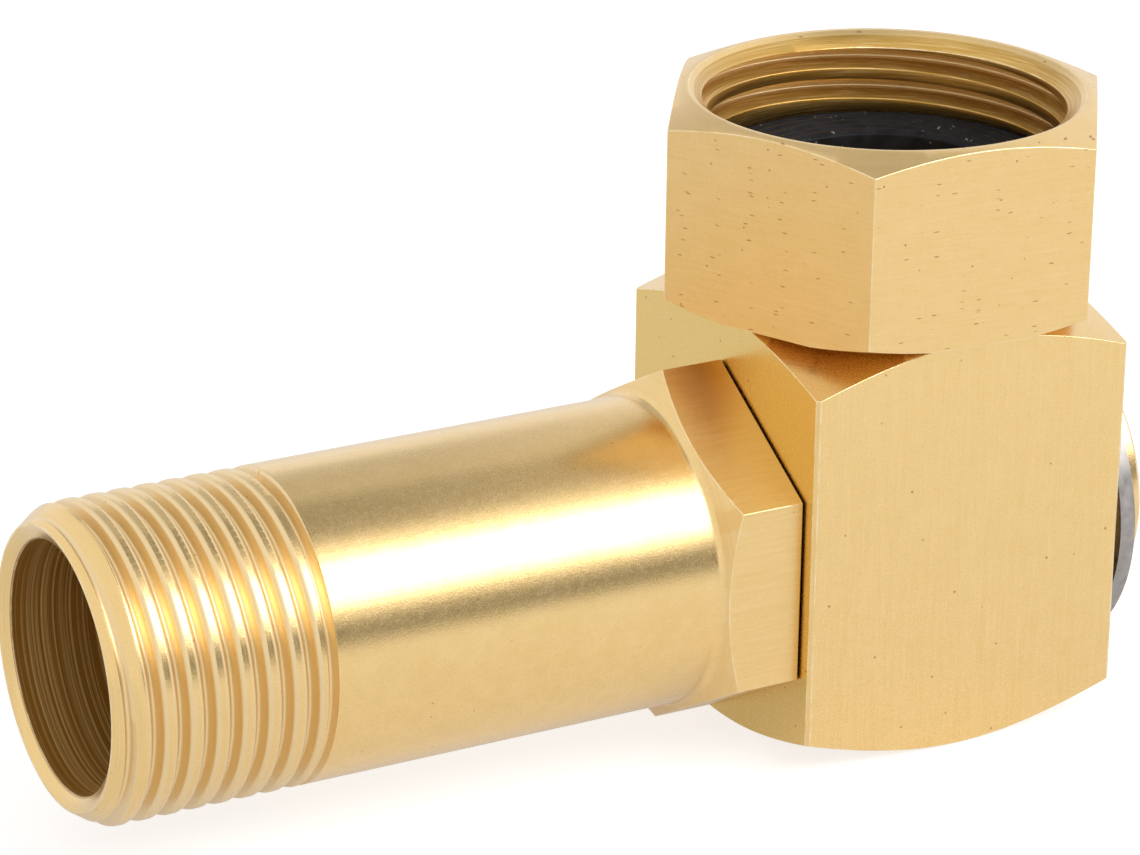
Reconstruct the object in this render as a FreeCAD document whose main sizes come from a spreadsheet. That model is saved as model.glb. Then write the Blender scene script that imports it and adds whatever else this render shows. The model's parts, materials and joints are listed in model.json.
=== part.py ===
import FreeCAD, Part
import Sketcher
import os
import re

# Right-angle swivel adapter that joins a garden hose to a hose reel, in millimetres.
# A square brass block carries a hose nut on top and a threaded outlet tube at one side.
# The origin is the centre of the block's underside, +Z runs up the nut's axis and the
# outlet tube points along -X.  Screw threads are left as plain cylinders at their crests.
# Each size that can be set by itself is named here once.  The outlet thread on the tube
# drives the stem and the block around it, and the hose thread drives the nut, the washer
# and the neck.

SIZES = {
    # Outlet tube of the stem, from its open end to the hexagon.
    "tube_dia": 21.5,
    "tube_wall": 2.25,
    "tube_length": 44.75,
    "waterway_into_hex": 1.25,
    "outlet_mouth_rise": 0.55,
    "outlet_mouth_depth": 0.75,
    "outlet_face_width": 0.25,
    "outlet_chamfer_length": 1.7,
    # Hexagon that takes the spanner, coned towards the tube.
    "hex_step": 0.5,
    "hex_length": 4.65,
    "hex_cone_slope": 27.0,
    "hex_root_rise": 0.3,
    "hex_root_run": 0.4,
    "hex_to_block_gap": 0.35,
    # Journal that turns in the block, with a waist where the water crosses.
    "hex_shoulder_width": 1.25,
    "running_clearance": 0.05,
    "waist_depth": 2.0,
    "waist_wall": 2.0,
    "inner_way_past_port": 1.5,
    "drill_point_slope": 31.0,
    "cross_port_dia": 7.0,
    "cross_port_count": 4,
    "journal_tail": 3.75,
    "tail_chamfer": 0.3,
    # Rubber seals, at the size they have when squeezed into their grooves.
    "seal_inset": 3.25,
    "seal_groove_depth": 1.7,
    "seal_groove_width": 2.6,
    "seal_land": 1.4,
    "seal_clearance": 0.025,
    "seal_side_room": 0.3,
    # Steel ring that keeps the journal in the block.
    "ring_to_block_gap": 0.95,
    "ring_thickness": 1.2,
    "ring_groove_depth": 0.5,
    "ring_clearance": 0.05,
    "ring_stand": 1.5,
    "ring_offset": 0.9,
    "ring_mouth_width": 5.0,
    "ring_lug_hole_dia": 1.8,
    "ring_lug_wall": 1.1,
    "ring_lug_root": 0.35,
    # Square block round the journal, turned to a shallow cone at both ends.
    "block_side_wall": 2.4,
    "block_floor_wall": 3.45,
    "block_roof_wall": 6.45,
    "block_cone_bite": 0.25,
    "block_cone_slope": 24.5,
    "block_edge_break": 0.25,
    "bore_lead_in": 0.5,
    # Hose nut, coned at both ends, from the crests of its thread outwards.
    "nut_crest_dia": 24.6,
    "nut_thread_length": 4.5,
    "nut_mouth_flare": 1.25,
    "nut_mouth_depth": 0.95,
    "nut_wall": 0.75,
    "nut_lip": 0.35,
    "nut_base_overhang": 0.4,
    "nut_cone_slope": 22.5,
    "nut_turn": -4.5,
    "nut_to_block_gap": 0.3,
    "nut_shoulder_thickness": 3.0,
    "nut_neck_clearance": 0.3,
    "nut_lift_clearance": 0.3,
    # Ribbed rubber washer held in a chamber of the nut.
    "washer_grip": 0.45,
    "washer_width": 4.75,
    "washer_thickness": 3.1,
    "washer_seat_gap": 0.1,
    "washer_edge_clearance": 0.1,
    "washer_top_clearance": 0.2,
    "washer_rib_height": 0.25,
    "washer_rib_width": 1.2,
    "washer_rib_count": 1,
    # Neck screwed into the block, which the nut hangs on.
    "flange_entry_clearance": 0.6,
    "flange_reach": 2.2,
    "flange_thickness": 1.7,
    "neck_shoulder": 1.0,
    "neck_wall": 2.0,
    "neck_mouth_break": 0.8,
    "spigot_clearance": 0.03,
    "spigot_end_gap": 0.2,
    "socket_floor_wall": 0.45,
    "block_port_step": 0.5,
}

# Sizes that follow from the ones above, and that several pieces share.
DERIVED = {
    "waterway_dia": "tube_dia - 2 * tube_wall",
    "outlet_mouth_dia": "waterway_dia + 2 * outlet_mouth_rise",
    "outlet_face_dia": "outlet_mouth_dia + 2 * outlet_face_width",
    "hex_flats": "tube_dia + 2 * hex_step",
    "hex_corner": "hex_flats / 2 / cos(30)",
    "hex_back": "tube_length + hex_length",
    "outlet_reach": "hex_back + hex_to_block_gap + half_block",
    "journal_dia": "hex_flats - 2 * hex_shoulder_width",
    "bore_dia": "journal_dia + 2 * running_clearance",
    "waist_dia": "journal_dia - 2 * waist_depth",
    "half_waist": "seal_offset - seal_groove_width / 2 - seal_land",
    "inner_way_dia": "waist_dia - 2 * waist_wall",
    "seal_offset": "half_block - seal_inset",
    "seal_groove_dia": "journal_dia - 2 * seal_groove_depth",
    "ring_groove_dia": "journal_dia - 2 * ring_groove_depth",
    "ring_outer_dia": "journal_dia + 2 * ring_stand",
    "ring_inside_dia": "ring_groove_dia + 2 * ring_clearance",
    "ring_lug_dia": "ring_lug_hole_dia + 2 * ring_lug_wall",
    "ring_lug_radius": "ring_inside_dia / 2 + ring_lug_root + ring_lug_hole_dia / 2",
    "block_width": "bore_dia + 2 * block_side_wall",
    "half_block": "block_width / 2",
    "axis_height": "block_floor_wall + bore_dia / 2",
    "block_height": "axis_height + bore_dia / 2 + block_roof_wall",
    "block_face_dia": "block_width - 2 * block_cone_bite",
    "nut_mouth_dia": "nut_crest_dia + 2 * nut_mouth_flare",
    "nut_top_face_dia": "nut_mouth_dia + 2 * nut_lip",
    "nut_flats": "nut_mouth_dia + 2 * nut_wall",
    "nut_base_face_dia": "nut_flats + 2 * nut_base_overhang",
    "nut_base": "block_height + nut_to_block_gap",
    "nut_length": "nut_chamber_top + nut_thread_length + nut_mouth_depth",
    "nut_chamber_top": "washer_base + washer_thickness + washer_top_clearance - nut_base",
    "washer_dia": "nut_crest_dia + 2 * washer_grip",
    "washer_hole_dia": "washer_dia - 2 * washer_width",
    "washer_base": "flange_top + washer_seat_gap",
    "flange_dia": "nut_crest_dia - 2 * flange_entry_clearance",
    "flange_base": "nut_base + nut_shoulder_thickness + nut_lift_clearance",
    "flange_top": "flange_base + flange_thickness",
    "neck_dia": "flange_dia - 2 * flange_reach",
    "spigot_dia": "neck_dia - 2 * neck_shoulder",
    "neck_bore_dia": "spigot_dia - 2 * neck_wall",
    "socket_floor": "axis_height + bore_dia / 2 + socket_floor_wall",
    "block_port_dia": "neck_bore_dia - 2 * block_port_step",
}

# How far a cutting outline runs past the surface that it cuts.
OVERCUT = "1.0"

doc = FreeCAD.newDocument("hose_swivel")


def add_sheet(values):
    """Write every driving size into one sheet, each with its own alias."""
    sheet = doc.addObject("Spreadsheet::Sheet", "Sizes")
    for row, (name, value) in enumerate(values.items(), start=1):
        sheet.set("A%d" % row, name)
        sheet.set("B%d" % row, str(value))
        sheet.setAlias("B%d" % row, name)
    doc.recompute()


def ref(expression):
    """Point each size name in an expression at the sheet, through the derived sizes."""
    def point_at_sheet(word):
        if word[0] in DERIVED:
            return "(" + ref(DERIVED[word[0]]) + ")"
        return "Sizes." + word[0] if word[0] in SIZES else word[0]
    return re.sub("[a-z_]+", point_at_sheet, expression)


def new_body(label, x="0", z="0"):
    """Start a body whose own frame is moved to x and z."""
    body = doc.addObject("PartDesign::Body", label)
    body.Label = label
    body.setExpression("Placement.Base.x", ref(x))
    body.setExpression("Placement.Base.z", ref(z))
    return body


def new_sketch(body, name, plane, offset=None):
    """Start a sketch on one of the body's own planes, lifted off it by offset."""
    sketch = body.newObject("Sketcher::SketchObject", name)
    support = [item for item in body.Origin.OriginFeatures if item.Role == plane]
    sketch.AttachmentSupport = [(support[0], "")]
    sketch.MapMode = "FlatFace"
    if offset:
        sketch.setExpression("AttachmentOffset.Base.z", ref(offset))
    return sketch


def bind(sketch, constraint, name, expression):
    """Add a named dimension to a sketch and tie it to the sheet."""
    sketch.renameConstraint(sketch.addConstraint(constraint), name)
    sketch.setExpression("Constraints." + name, ref(expression))


def place_point(sketch, element, point, across, along):
    """Hold a point of a sketch at a distance from the origin, either side of it."""
    for kind, size in (("DistanceX", across), ("DistanceY", along)):
        name = "%s_%d" % (kind, element)
        if size.startswith("- "):
            rule = Sketcher.Constraint(kind, element, point, -1, 1, 1.0)
            bind(sketch, rule, name, size[2:])
        else:
            bind(sketch, Sketcher.Constraint(kind, -1, 1, element, point, 1.0), name, size)


def spaced_corners(count, first):
    """Give evenly spaced points about the origin, starting at first."""
    turn = FreeCAD.Rotation(FreeCAD.Vector(0, 0, 1), 360.0 / count)
    corners = [first]
    for _ in range(count - 1):
        corners.append(turn.multVec(corners[-1]))
    return corners


def closed_lines(sketch, corners):
    """Draw straight lines from corner to corner and join their ends."""
    count = len(corners)
    for index in range(count):
        line = Part.LineSegment(corners[index], corners[(index + 1) % count])
        sketch.addGeometry(line, False)
    for index in range(count):
        joint = Sketcher.Constraint("Coincident", index, 2, (index + 1) % count, 1)
        sketch.addConstraint(joint)


def outline(sketch, corners):
    """Draw a closed outline; each corner is a pair of expressions, across and along."""
    closed_lines(sketch, spaced_corners(len(corners), FreeCAD.Vector(10, 0, 0)))
    for index, (across, along) in enumerate(corners):
        place_point(sketch, index, 1, across, along)


def circle(sketch, diameter, across="0", along="0"):
    """Draw one circle from expressions for its diameter and centre."""
    shape = Part.Circle(FreeCAD.Vector(1, 1, 0), FreeCAD.Vector(0, 0, 1), 5)
    index = sketch.addGeometry(shape, False)
    bind(sketch, Sketcher.Constraint("Diameter", index, 10.0), "Diameter_%d" % index, diameter)
    place_point(sketch, index, 3, across, along)


def hexagon(sketch, flats, corner_up=False):
    """Draw a regular hexagon about the origin, with a corner across or straight up."""
    first = FreeCAD.Vector(0, 10, 0) if corner_up else FreeCAD.Vector(10, 0, 0)
    closed_lines(sketch, spaced_corners(6, first))
    rim_circle = Part.Circle(FreeCAD.Vector(0, 0, 0), FreeCAD.Vector(0, 0, 1), 10)
    rim = sketch.addGeometry(rim_circle, True)
    sketch.addConstraint(Sketcher.Constraint("Coincident", rim, 3, -1, 1))
    for index in range(6):
        sketch.addConstraint(Sketcher.Constraint("PointOnObject", index, 1, rim))
    for index in range(1, 6):
        sketch.addConstraint(Sketcher.Constraint("Equal", 0, index))
    sketch.addConstraint(Sketcher.Constraint("PointOnObject", 0, 1, -2 if corner_up else -1))
    corner_radius = "%s / 2 / cos(30)" % flats
    bind(sketch, Sketcher.Constraint("Radius", rim, 10.0), "CornerRadius", corner_radius)


def square(sketch, width):
    """Draw a square about the origin with its sides along the sketch axes."""
    corners = [(-1, -1), (1, -1), (1, 1), (-1, 1)]
    closed_lines(sketch, [FreeCAD.Vector(10 * x, 10 * y, 0) for x, y in corners])
    for index, kind in enumerate(("Horizontal", "Vertical", "Horizontal", "Vertical")):
        sketch.addConstraint(Sketcher.Constraint(kind, index))
    sketch.addConstraint(Sketcher.Constraint("Symmetric", 0, 1, 2, 1, -1, 1))
    for index, kind in enumerate(("DistanceX", "DistanceY")):
        rule = Sketcher.Constraint(kind, index, 1, index, 2, 20.0)
        bind(sketch, rule, kind, width)


def pad(body, sketch, length):
    """Raise a sketch to a length."""
    feature = body.newObject("PartDesign::Pad", sketch.Name + "_pad")
    feature.Profile = sketch
    feature.setExpression("Length", ref(length))
    doc.recompute()


def pocket(body, sketch, length=None):
    """Cut a sketch to a depth, or both ways right through when no depth is given."""
    before = body.Shape.Volume
    feature = body.newObject("PartDesign::Pocket", sketch.Name + "_cut")
    feature.Profile = sketch
    if length:
        feature.setExpression("Length", ref(length))
    else:
        feature.Type = "ThroughAll"
        feature.Midplane = True
    doc.recompute()
    check_cut(body, before, feature)
    return feature


def turned(body, name, corners, axis="V_Axis", cut=False):
    """Revolve an outline about an axis of its own sketch, to add or to cut material."""
    before = body.Shape.Volume if cut else 0.0
    sketch = new_sketch(body, name + "_outline", "XZ_Plane")
    outline(sketch, corners)
    kind = "PartDesign::Groove" if cut else "PartDesign::Revolution"
    feature = body.newObject(kind, name)
    feature.Profile = sketch
    feature.ReferenceAxis = (sketch, [axis])
    feature.Angle = 360
    doc.recompute()
    if cut:
        check_cut(body, before, feature)


def check_cut(body, before, feature):
    """Stop when a cut points away from the solid and removes nothing."""
    if body.Shape.Volume > before - 0.001:
        raise ValueError(feature.Name + " removes nothing")


def ring_cut(body, name, start, end, floor_dia):
    """Turn a plain groove in the journal between two places along it."""
    floor = floor_dia + " / 2"
    outside = "journal_dia / 2 + " + OVERCUT
    corners = [(start, floor), (end, floor), (end, outside), (start, outside)]
    turned(body, name, corners, "H_Axis", cut=True)


def cone_ends(body, length, width, top_dia, base_dia, slope):
    """Turn both ends of an upright bar to a cone outside a flat round face."""
    run = "(" + width + " - %s / 2) * tan(" + slope + ")"
    top = [(top_dia + " / 2", length), (width, length + " - " + run % top_dia), (width, length)]
    base = [(base_dia + " / 2", "0"), (width, "0"), (width, run % base_dia)]
    turned(body, body.Name + "_top_cone", top, cut=True)
    turned(body, body.Name + "_base_cone", base, cut=True)


def chamfer(body, name, size, wanted):
    """Chamfer the edges that a test picks out."""
    base = body.Tip
    edges = base.Shape.Edges
    names = ["Edge%d" % (index + 1) for index, edge in enumerate(edges) if wanted(edge)]
    feature = body.newObject("PartDesign::Chamfer", name)
    feature.Base = (base, names)
    feature.setExpression("Size", ref(size))
    doc.recompute()


def is_upright(edge):
    """Tell a straight edge that runs along Z."""
    ends = [vertex.Point for vertex in edge.Vertexes]
    if len(ends) != 2 or not isinstance(edge.Curve, Part.Line):
        return False
    return abs(ends[0].x - ends[1].x) + abs(ends[0].y - ends[1].y) < 1e-6


def is_bore_rim(edge):
    """Tell a round edge about the X direction."""
    return isinstance(edge.Curve, Part.Circle) and abs(edge.Curve.Axis.x) > 0.999


def make_block():
    """Square bar, coned at both ends, bored across for the journal and down for the neck."""
    body = new_body("swivel_body")
    bar = new_sketch(body, "bar", "XY_Plane")
    square(bar, "block_width")
    pad(body, bar, "block_height")
    chamfer(body, "bar_edges", "block_edge_break", is_upright)
    cone_ends(
        body, "block_height", "block_width", "block_face_dia", "block_face_dia", "block_cone_slope"
    )
    bore = new_sketch(body, "journal_bore", "YZ_Plane")
    circle(bore, "bore_dia", "0", "axis_height")
    pocket(body, bore)
    chamfer(body, "bore_lead_ins", "bore_lead_in", is_bore_rim)
    socket = "spigot_dia / 2 + spigot_clearance"
    port = "block_port_dia / 2"
    corners = [
        ("0", "axis_height"),
        (port, "axis_height"),
        (port, "socket_floor"),
        (socket, "socket_floor"),
        (socket, "block_height"),
        ("0", "block_height"),
    ]
    turned(body, "neck_socket", corners, cut=True)
    return body


def make_neck():
    """Turned neck: spigot in the block, plain neck for the nut, and the flange it hangs on."""
    body = new_body("inlet_neck")
    bore = "neck_bore_dia / 2"
    spigot_end = "socket_floor + spigot_end_gap"
    corners = [
        (bore, spigot_end),
        ("spigot_dia / 2", spigot_end),
        ("spigot_dia / 2", "block_height"),
        ("neck_dia / 2", "block_height"),
        ("neck_dia / 2", "flange_base"),
        ("flange_dia / 2", "flange_base"),
        ("flange_dia / 2", "flange_top"),
        (bore + " + neck_mouth_break", "flange_top"),
        (bore, "flange_top - neck_mouth_break"),
    ]
    turned(body, "neck_profile", corners)
    return body


def make_nut():
    """Hexagon nut with a shoulder at its foot, a washer chamber and a coned mouth."""
    body = new_body("hose_nut", z="nut_base")
    body.Placement.Rotation = FreeCAD.Rotation(FreeCAD.Vector(0, 0, 1), 1.0)
    body.setExpression("Placement.Rotation.Angle", ref("nut_turn"))
    flats = new_sketch(body, "nut_bar", "XY_Plane")
    hexagon(flats, "nut_flats")
    pad(body, flats, "nut_length")
    cone_ends(
        body, "nut_length", "nut_flats", "nut_top_face_dia", "nut_base_face_dia", "nut_cone_slope"
    )
    hole = "neck_dia / 2 + nut_neck_clearance"
    chamber = "washer_dia / 2 + washer_edge_clearance"
    crest = "nut_crest_dia / 2"
    corners = [
        ("0", "0"),
        (hole, "0"),
        (hole, "nut_shoulder_thickness"),
        (chamber, "nut_shoulder_thickness"),
        (chamber, "nut_chamber_top"),
        (crest, "nut_chamber_top"),
        (crest, "nut_length - nut_mouth_depth"),
        ("nut_mouth_dia / 2", "nut_length"),
        ("0", "nut_length"),
    ]
    turned(body, "nut_inside", corners, cut=True)
    return body


def make_washer():
    """Flat rubber ring with round ribs on both faces."""
    body = new_body("hose_washer", z="washer_base")
    hole = "washer_hole_dia / 2"
    edge = "washer_dia / 2"
    low = "washer_rib_height"
    high = "washer_thickness - washer_rib_height"
    turned(body, "washer_ring", [(hole, low), (edge, low), (edge, high), (hole, high)])
    for index in range(SIZES["washer_rib_count"]):
        share = "%d / (washer_rib_count + 1)" % (index + 1)
        middle = "%s + (%s - %s) * %s" % (hole, edge, hole, share)
        corners = [
            (middle + " - washer_rib_width / 2", low),
            (middle, "0"),
            (middle + " + washer_rib_width / 2", low),
            (middle + " + washer_rib_width / 2", high),
            (middle, "washer_thickness"),
            (middle + " - washer_rib_width / 2", high),
        ]
        turned(body, "washer_rib_%d" % (index + 1), corners)
    return body


def make_stem():
    """Outlet tube, hexagon and ported journal, turned from one bar and cross-drilled."""
    body = new_body("outlet_stem", "- outlet_reach", "axis_height")
    tube = "tube_dia / 2"
    cone_start = "tube_length - (hex_corner - tube_dia / 2) * tan(hex_cone_slope)"
    flats = new_sketch(body, "hex_bar", "YZ_Plane", cone_start)
    hexagon(flats, "hex_flats", corner_up=True)
    pad(body, flats, "hex_back - (%s)" % cone_start)
    over_corner = "hex_corner + " + OVERCUT
    over_front = "tube_length + %s * tan(hex_cone_slope)" % OVERCUT
    cone = [(cone_start, tube), (over_front, over_corner), (cone_start, over_corner)]
    turned(body, "hex_cone", cone, "H_Axis", cut=True)

    root_top = cone_start + " + hex_root_rise * tan(hex_cone_slope)"
    tube_corners = [
        ("0", "0"),
        ("0", "outlet_face_dia / 2"),
        ("outlet_chamfer_length", tube),
        (cone_start + " - hex_root_run", tube),
        (root_top, tube + " + hex_root_rise"),
        ("hex_back", tube + " + hex_root_rise"),
        ("hex_back", "0"),
    ]
    turned(body, "tube", tube_corners, "H_Axis")

    stem_end = "outlet_reach + half_block + journal_tail"
    journal_corners = [
        ("tube_length", "0"),
        ("tube_length", "journal_dia / 2"),
        (stem_end + " - tail_chamfer", "journal_dia / 2"),
        (stem_end, "journal_dia / 2 - tail_chamfer"),
        (stem_end, "0"),
    ]
    turned(body, "journal", journal_corners, "H_Axis")
    waist_ends = ("outlet_reach - half_waist", "outlet_reach + half_waist")
    ring_cut(body, "waist", *waist_ends, "waist_dia")
    for name, side in (("tube", "-"), ("tail", "+")):
        middle = "outlet_reach %s seal_offset" % side
        groove_ends = (middle + " - seal_groove_width / 2", middle + " + seal_groove_width / 2")
        ring_cut(body, name + "_seal_groove", *groove_ends, "seal_groove_dia")
    ring_start = "outlet_reach + half_block + ring_to_block_gap"
    ring_ends = (ring_start + " - ring_clearance", ring_start + " + ring_thickness + ring_clearance")
    ring_cut(body, "ring_groove", *ring_ends, "ring_groove_dia")

    way = "waterway_dia / 2"
    inner = "inner_way_dia / 2"
    way_end = "tube_length + waterway_into_hex"
    inner_end = "outlet_reach + cross_port_dia / 2 + inner_way_past_port"
    way_corners = [
        ("0", "0"),
        ("0", "outlet_mouth_dia / 2"),
        ("outlet_mouth_depth", way),
        (way_end, way),
        (way_end + " + (%s - %s) * tan(drill_point_slope)" % (way, inner), inner),
        (inner_end, inner),
        (inner_end + " + %s * tan(drill_point_slope)" % inner, "0"),
    ]
    turned(body, "waterway", way_corners, "H_Axis", cut=True)

    port = new_sketch(body, "cross_port", "XY_Plane")
    circle(port, "cross_port_dia", "outlet_reach", "0")
    drilled = pocket(body, port, "journal_dia")
    ports = body.newObject("PartDesign::PolarPattern", "cross_ports")
    ports.Originals = [drilled]
    axes = [item for item in body.Origin.OriginFeatures if item.Role == "X_Axis"]
    ports.Axis = (axes[0], [""])
    ports.Angle = 360
    ports.setExpression("Occurrences", ref("cross_port_count"))
    body.Tip = ports
    doc.recompute()
    return body


def make_seal(label, side):
    """Rubber ring squeezed flat between the journal's groove and the block's bore."""
    body = new_body(label, side + " seal_offset", "axis_height")
    bore = "bore_dia / 2 - seal_clearance"
    floor = "seal_groove_dia / 2 + seal_clearance"
    half_width = "seal_groove_width / 2 - seal_side_room"
    left = "- (%s)" % half_width
    corners = [(left, floor), (half_width, floor), (half_width, bore), (left, bore)]
    turned(body, label + "_profile", corners, "H_Axis")
    return body


def make_ring():
    """Open steel ring, deepest opposite its mouth, with a drilled lug at each end."""
    body = new_body("retaining_ring", "half_block + ring_to_block_gap", "axis_height")
    rim = new_sketch(body, "ring_rim", "YZ_Plane")
    circle(rim, "ring_outer_dia", "0", "- ring_offset")
    pad(body, rim, "ring_thickness")
    lug_across = "(ring_mouth_width + ring_lug_dia) / 2"
    lug_up = "sqrt(ring_lug_radius ^ 2 - (%s) ^ 2)" % lug_across
    lugs = new_sketch(body, "ring_lugs", "YZ_Plane")
    holes = new_sketch(body, "ring_lug_holes", "YZ_Plane")
    for sketch, diameter in ((lugs, "ring_lug_dia"), (holes, "ring_lug_hole_dia")):
        circle(sketch, diameter, lug_across, lug_up)
        circle(sketch, diameter, "- " + lug_across, lug_up)
    pad(body, lugs, "ring_thickness")
    pocket(body, holes)
    inside = new_sketch(body, "ring_inside", "YZ_Plane")
    circle(inside, "ring_inside_dia")
    pocket(body, inside)
    mouth = new_sketch(body, "ring_mouth", "YZ_Plane")
    half_mouth = "ring_mouth_width / 2"
    top = "ring_lug_radius + ring_lug_dia / 2"
    left = "- " + half_mouth
    outline(mouth, [(left, "0"), (half_mouth, "0"), (half_mouth, top), (left, top)])
    pocket(body, mouth)
    return body


add_sheet(SIZES)
parts = [
    make_block(),
    make_neck(),
    make_nut(),
    make_washer(),
    make_stem(),
    make_seal("tube_side_seal", "-"),
    make_seal("tail_side_seal", "+"),
    make_ring(),
]
doc.recompute()

for item in doc.Objects:
    if "Invalid" in item.State or "Error" in item.State:
        raise ValueError("%s is %s" % (item.Name, item.State))
os.makedirs("parts", exist_ok=True)
for part in parts:
    if part.Shape.isNull() or not part.Shape.isValid():
        raise ValueError(part.Label + " has no valid shape")
    part.Shape.exportStep("parts/" + part.Label + ".step")
    box = part.Shape.BoundBox
    print(part.Label, "volume %.1f" % part.Shape.Volume, "solids", len(part.Shape.Solids))
    print("  x %.2f to %.2f, y %.2f to %.2f" % (box.XMin, box.XMax, box.YMin, box.YMax))
    print("  z %.2f to %.2f" % (box.ZMin, box.ZMax))
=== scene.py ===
# %% [markdown]
# # A brass garden hose swivel, dressed for a close-up
# The part is a right-angle adapter.  A hexagon nut takes the garden hose, a square block
# turns the water round the corner, and a threaded tube screws into the hose reel.  The
# solid model gives every piece its size and place.  Here each visible piece is modelled
# again in that same place, now with its real screw threads, softened edges and the
# surface that a lathe, a drawing die and some handling leave on brass.

import json
import math

import bpy
import numpy as np
from mathutils import Matrix, Vector


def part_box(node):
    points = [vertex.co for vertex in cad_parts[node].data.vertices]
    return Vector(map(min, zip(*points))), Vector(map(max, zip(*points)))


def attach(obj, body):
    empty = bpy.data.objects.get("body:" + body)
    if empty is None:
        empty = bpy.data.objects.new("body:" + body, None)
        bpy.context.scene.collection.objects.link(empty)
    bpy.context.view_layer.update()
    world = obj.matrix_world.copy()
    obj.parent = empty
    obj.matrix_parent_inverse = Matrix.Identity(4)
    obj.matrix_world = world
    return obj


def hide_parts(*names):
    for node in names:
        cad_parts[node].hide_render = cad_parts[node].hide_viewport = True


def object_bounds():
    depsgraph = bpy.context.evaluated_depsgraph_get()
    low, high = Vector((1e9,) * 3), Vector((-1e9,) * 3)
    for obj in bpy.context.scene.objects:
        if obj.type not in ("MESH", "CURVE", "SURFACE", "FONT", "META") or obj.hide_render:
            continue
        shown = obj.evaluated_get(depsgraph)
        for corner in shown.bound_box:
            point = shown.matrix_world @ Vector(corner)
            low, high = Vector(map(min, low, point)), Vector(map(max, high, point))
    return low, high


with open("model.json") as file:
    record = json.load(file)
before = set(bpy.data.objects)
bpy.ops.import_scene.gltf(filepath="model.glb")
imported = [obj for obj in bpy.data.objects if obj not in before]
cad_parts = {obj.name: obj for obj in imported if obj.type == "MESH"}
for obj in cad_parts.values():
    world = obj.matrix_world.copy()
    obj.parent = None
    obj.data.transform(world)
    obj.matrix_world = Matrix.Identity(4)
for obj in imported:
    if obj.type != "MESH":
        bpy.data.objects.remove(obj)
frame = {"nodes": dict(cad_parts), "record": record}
cad_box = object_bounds()
print("solid model from", [round(v * 1000, 2) for v in cad_box[0]], "mm")

# %% [markdown]
# ## Reading sizes
# Blender works in metres, but a maker thinks in millimetres, so sizes here are written in
# millimetres and multiplied by MM at the last moment.  The solid model already knows how
# large each piece is.  Asking it keeps this file right if the model changes, and leaves
# only the small things that it doesn't show, such as a thread, to be named here.

# %% Sizes read from the solid model
MM = 0.001


def span(node, axis):
    """Lowest and highest place of a solid along one axis, in millimetres."""
    low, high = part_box(node)
    return low[axis] / MM, high[axis] / MM


X, Y, Z = 0, 1, 2
MOUNTS = {mount["name"]: mount for mount in frame["record"]["mounts"]}
tube_r = MOUNTS["hose_outlet"]["dims"]["r_mm"]
crest_r = MOUNTS["hose_inlet"]["dims"]["r_mm"]
axis_z = MOUNTS["hose_outlet"]["pos_m"][Z] / MM
block_half = span("swivel_body", X)[1]
block_top = span("swivel_body", Z)[1]
tube_end, tail_end = span("outlet_stem", X)
hex_corner_r = span("outlet_stem", Z)[1] - axis_z
nut_base, nut_top = span("hose_nut", Z)
print("tube radius", tube_r, "nut crest radius", crest_r, "axis at", round(axis_z, 2))
print("block half width", round(block_half, 2), "nut from", round(nut_base, 2), "to", round(nut_top, 2))

# %% [markdown]
# ## Tools of the bench
# Most of this fitting is turned, so one helper does what a lathe does: it draws half of a
# section point by point and spins it round an axis.  A plane that is merged to a single
# point is the easiest start for such an outline, because every following point is then one
# extrusion.  A second helper cuts or joins two pieces, and a third softens sharp edges.

# %% Pick a piece
ROUND_STEPS = 256
JOIN_GAP = 0.002 * MM


def pick(piece):
    """Select one piece alone and make it the active one."""
    bpy.ops.object.select_all(action="DESELECT")
    piece.select_set(True)
    bpy.context.view_layer.objects.active = piece


def new_piece(name):
    """Name the primitive that was just added."""
    piece = bpy.context.object
    piece.name = name
    piece.data.name = name
    return piece


# %% Draw an outline
def trace(name, points, closed=False):
    """Draw a line from point to point, each in millimetres."""
    bpy.ops.object.select_all(action="DESELECT")
    bpy.ops.mesh.primitive_plane_add(size=MM)
    piece = new_piece(name)
    bpy.ops.object.mode_set(mode="EDIT")
    bpy.ops.mesh.merge(type="CENTER")
    bpy.ops.transform.translate(value=Vector(points[0]) * MM)
    route = points[1:] + points[:1] if closed else points[1:]
    here = Vector(points[0])
    for point in route:
        step = (Vector(point) - here) * MM
        bpy.ops.mesh.extrude_vertices_move(TRANSFORM_OT_translate={"value": step})
        here = Vector(point)
    bpy.ops.mesh.select_all(action="SELECT")
    bpy.ops.mesh.remove_doubles(threshold=JOIN_GAP)
    bpy.ops.object.mode_set(mode="OBJECT")
    return piece


# %% Turn an outline on the lathe
def turn(name, section, along="Z", closed=False, steps=ROUND_STEPS):
    """Spin a section of (radius, place) pairs round the nut's axis or the tube's axis."""
    if along == "Z":
        points = [(radius, 0, place) for radius, place in section]
        centre, axis = (0, 0, 0), (0, 0, 1)
    else:
        points = [(place, 0, axis_z + radius) for radius, place in section]
        centre, axis = (0, 0, axis_z * MM), (1, 0, 0)
    piece = trace(name, points, closed)
    bpy.ops.object.mode_set(mode="EDIT")
    bpy.ops.mesh.select_all(action="SELECT")
    bpy.ops.mesh.spin(steps=steps, angle=math.tau, center=centre, axis=axis)
    bpy.ops.mesh.select_all(action="SELECT")
    bpy.ops.mesh.remove_doubles(threshold=JOIN_GAP)
    bpy.ops.mesh.normals_make_consistent(inside=False)
    bpy.ops.object.mode_set(mode="OBJECT")
    return piece


# %% Cut, join and soften
EDGE_BREAK = 0.05
EDGE_ANGLE = math.radians(24)
SMOOTH_ANGLE = math.radians(40)
PLAIN, EDGE, GROOVE = 0, 1, 2
SLOTS = 3


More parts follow.
